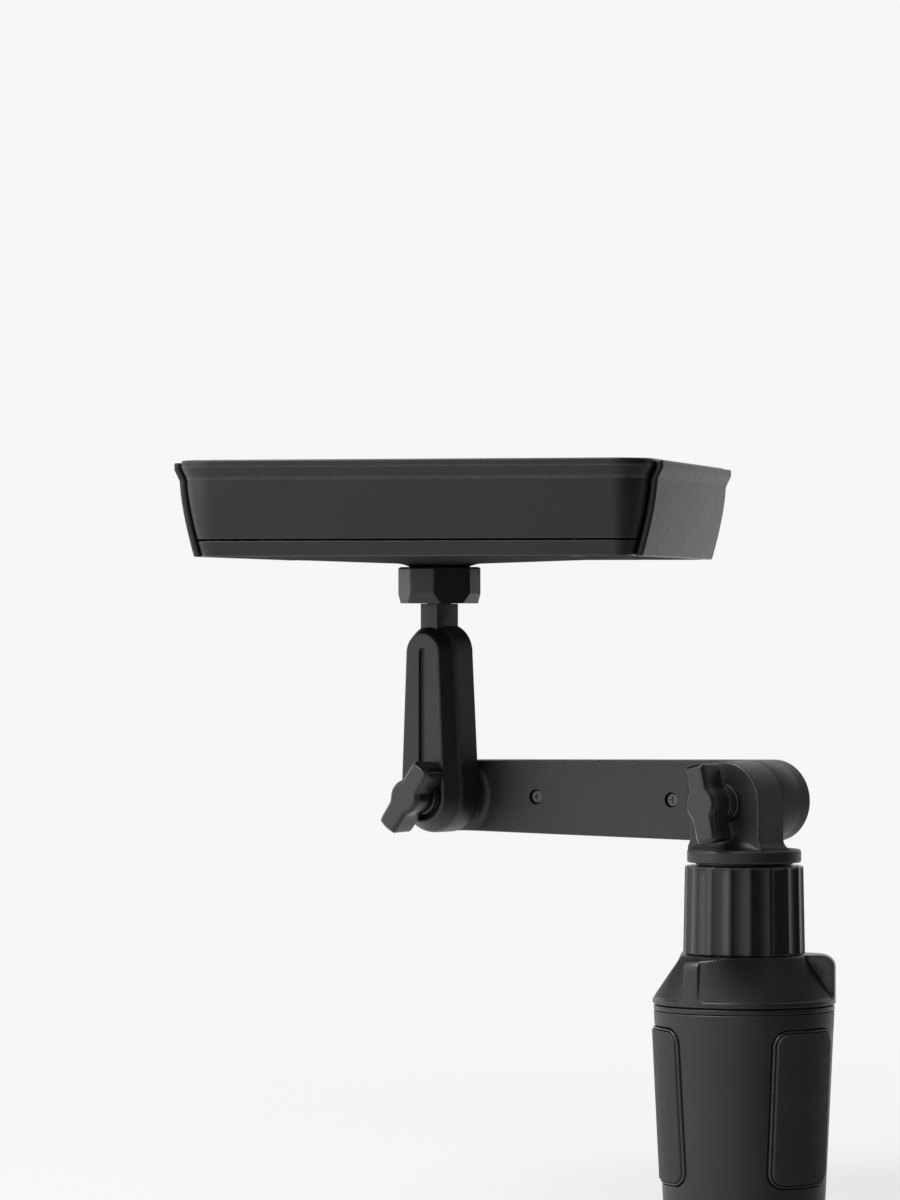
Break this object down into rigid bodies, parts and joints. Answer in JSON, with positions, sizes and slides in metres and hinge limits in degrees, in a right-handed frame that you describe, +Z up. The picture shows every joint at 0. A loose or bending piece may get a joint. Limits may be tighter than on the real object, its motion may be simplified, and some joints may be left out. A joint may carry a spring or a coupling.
{
  "type": "cup holder car tray",
  "caption": "Rimmed car tray with pull-out end wings, on a jointed arm and a swivelling bracket carried by an expanding base that grips a cup holder.",
  "frame": {"origin": "centre of the base's flat bottom face, on the base axis", "axes": "+Z up along the base axis; +X along the tray's front edge to the right; +Y from the tray's front to its back"},
  "size_m": [0.2375, 0.168, 0.2777],
  "materials": {
    "black_plastic": "fine moulded texture",
    "grip_plastic": "satin",
    "inner_plastic": "plain moulded",
    "pad_rubber": "matte",
    "steel": "dark plated",
    "brass": "plain"
  },
  "bodies": {
    "base": {"base_body": "black_plastic", "base_bottom_cap": "black_plastic", "cap_screw_1": "steel", "cap_screw_2": "steel", "cap_screw_3": "steel", "center_column": "inner_plastic"},
    "dial": {"expander_dial": "black_plastic", "drive_sleeve": "inner_plastic", "upper_cam": "inner_plastic", "lower_cam": "inner_plastic"},
    "jaw_a": {"jaw_1": "black_plastic", "jaw_pad_1": "pad_rubber"},
    "jaw_b": {"jaw_2": "black_plastic", "jaw_pad_2": "pad_rubber"},
    "jaw_c": {"jaw_3": "black_plastic", "jaw_pad_3": "pad_rubber"},
    "collar": {"lock_collar": "grip_plastic"},
    "bracket": {"swivel_bracket": "black_plastic", "lower_washer": "steel"},
    "lower_knob_turner": {"lower_knob": "grip_plastic", "lower_knob_insert": "brass"},
    "arm": {"arm_front_shell": "black_plastic", "arm_rear_shell": "black_plastic", "arm_screw_1": "steel", "arm_screw_2": "steel", "lower_hinge_bolt": "steel", "upper_hinge_bolt": "steel"},
    "upright_bar": {"upright": "black_plastic", "pivot_stud": "steel", "upper_washer": "steel"},
    "upper_knob_turner": {"upper_knob": "grip_plastic", "upper_knob_insert": "brass"},
    "tray": {"tray_bottom": "black_plastic", "tray_top": "black_plastic", "tray_screw_1": "steel", "tray_screw_2": "steel", "tray_screw_3": "steel", "tray_screw_4": "steel"},
    "tray_nut": {"tray_ring_nut": "grip_plastic"},
    "wing_left": {"left_wing": "black_plastic"},
    "wing_right": {"right_wing": "black_plastic"}
  },
  "joints": [
    {"name": "dial_turn", "type": "hinge", "parent": "base", "child": "dial", "pos_m": [0, 0, 0.0907], "axis": [0, 0, 1], "range_deg": [0, 100]},
    {"name": "jaw_a_slide", "type": "slide", "parent": "base", "child": "jaw_a", "axis": [0.8261, -0.5635, 0], "range_m": [0, 0.0095]},
    {"name": "jaw_b_slide", "type": "slide", "parent": "base", "child": "jaw_b", "axis": [0.075, 0.9972, 0], "range_m": [0, 0.0095]},
    {"name": "jaw_c_slide", "type": "slide", "parent": "base", "child": "jaw_c", "axis": [-0.9011, -0.4337, 0], "range_m": [0, 0.0095]},
    {"name": "collar_lock", "type": "hinge", "parent": "base", "child": "collar", "pos_m": [0, 0, 0.1165], "axis": [0, 0, 1], "range_deg": [-90, 0]},
    {"name": "base_swivel", "type": "hinge", "parent": "base", "child": "bracket", "pos_m": [0, 0, 0.1358], "axis": [0, 0, 1], "continuous": true},
    {"name": "lower_tilt", "type": "hinge", "parent": "bracket", "child": "arm", "pos_m": [0, 0, 0.155], "axis": [0.3955, 0.9184, 0], "range_deg": [-4, 60]},
    {"name": "lower_knob_turn", "type": "hinge", "parent": "bracket", "child": "lower_knob_turner", "pos_m": [0, 0, 0.155], "axis": [0.3955, 0.9184, 0], "continuous": true},
    {"name": "upper_tilt", "type": "hinge", "parent": "arm", "child": "upright_bar", "pos_m": [-0.1194, 0.05142, 0.155], "axis": [0.3955, 0.9184, 0], "range_deg": [-60, 20]},
    {"name": "upper_knob_turn", "type": "hinge", "parent": "upright_bar", "child": "upper_knob_turner", "pos_m": [-0.1194, 0.05142, 0.155], "axis": [0.3955, 0.9184, 0], "continuous": true},
    {"name": "tray_swivel", "type": "hinge", "parent": "upright_bar", "child": "tray", "pos_m": [-0.12221, 0.0449, 0.2368], "axis": [0, 0, 1], "continuous": true},
    {"name": "tray_nut_turn", "type": "hinge", "parent": "tray", "child": "tray_nut", "pos_m": [-0.12221, 0.0449, 0.2333], "axis": [0, 0, 1], "range_deg": [-90, 0]},
    {"name": "wing_left_slide", "type": "slide", "parent": "tray", "child": "wing_left", "axis": [-1, 0, 0], "range_m": [0, 0.045]},
    {"name": "wing_right_slide", "type": "slide", "parent": "tray", "child": "wing_right", "axis": [1, 0, 0], "range_m": [0, 0.045]}
  ],
  "couplings": [
    {"joint": "jaw_a_slide", "follows": "dial_turn", "m_per_rad": 0.0054431},
    {"joint": "jaw_b_slide", "follows": "dial_turn", "m_per_rad": 0.0054431},
    {"joint": "jaw_c_slide", "follows": "dial_turn", "m_per_rad": 0.0054431}
  ]
}
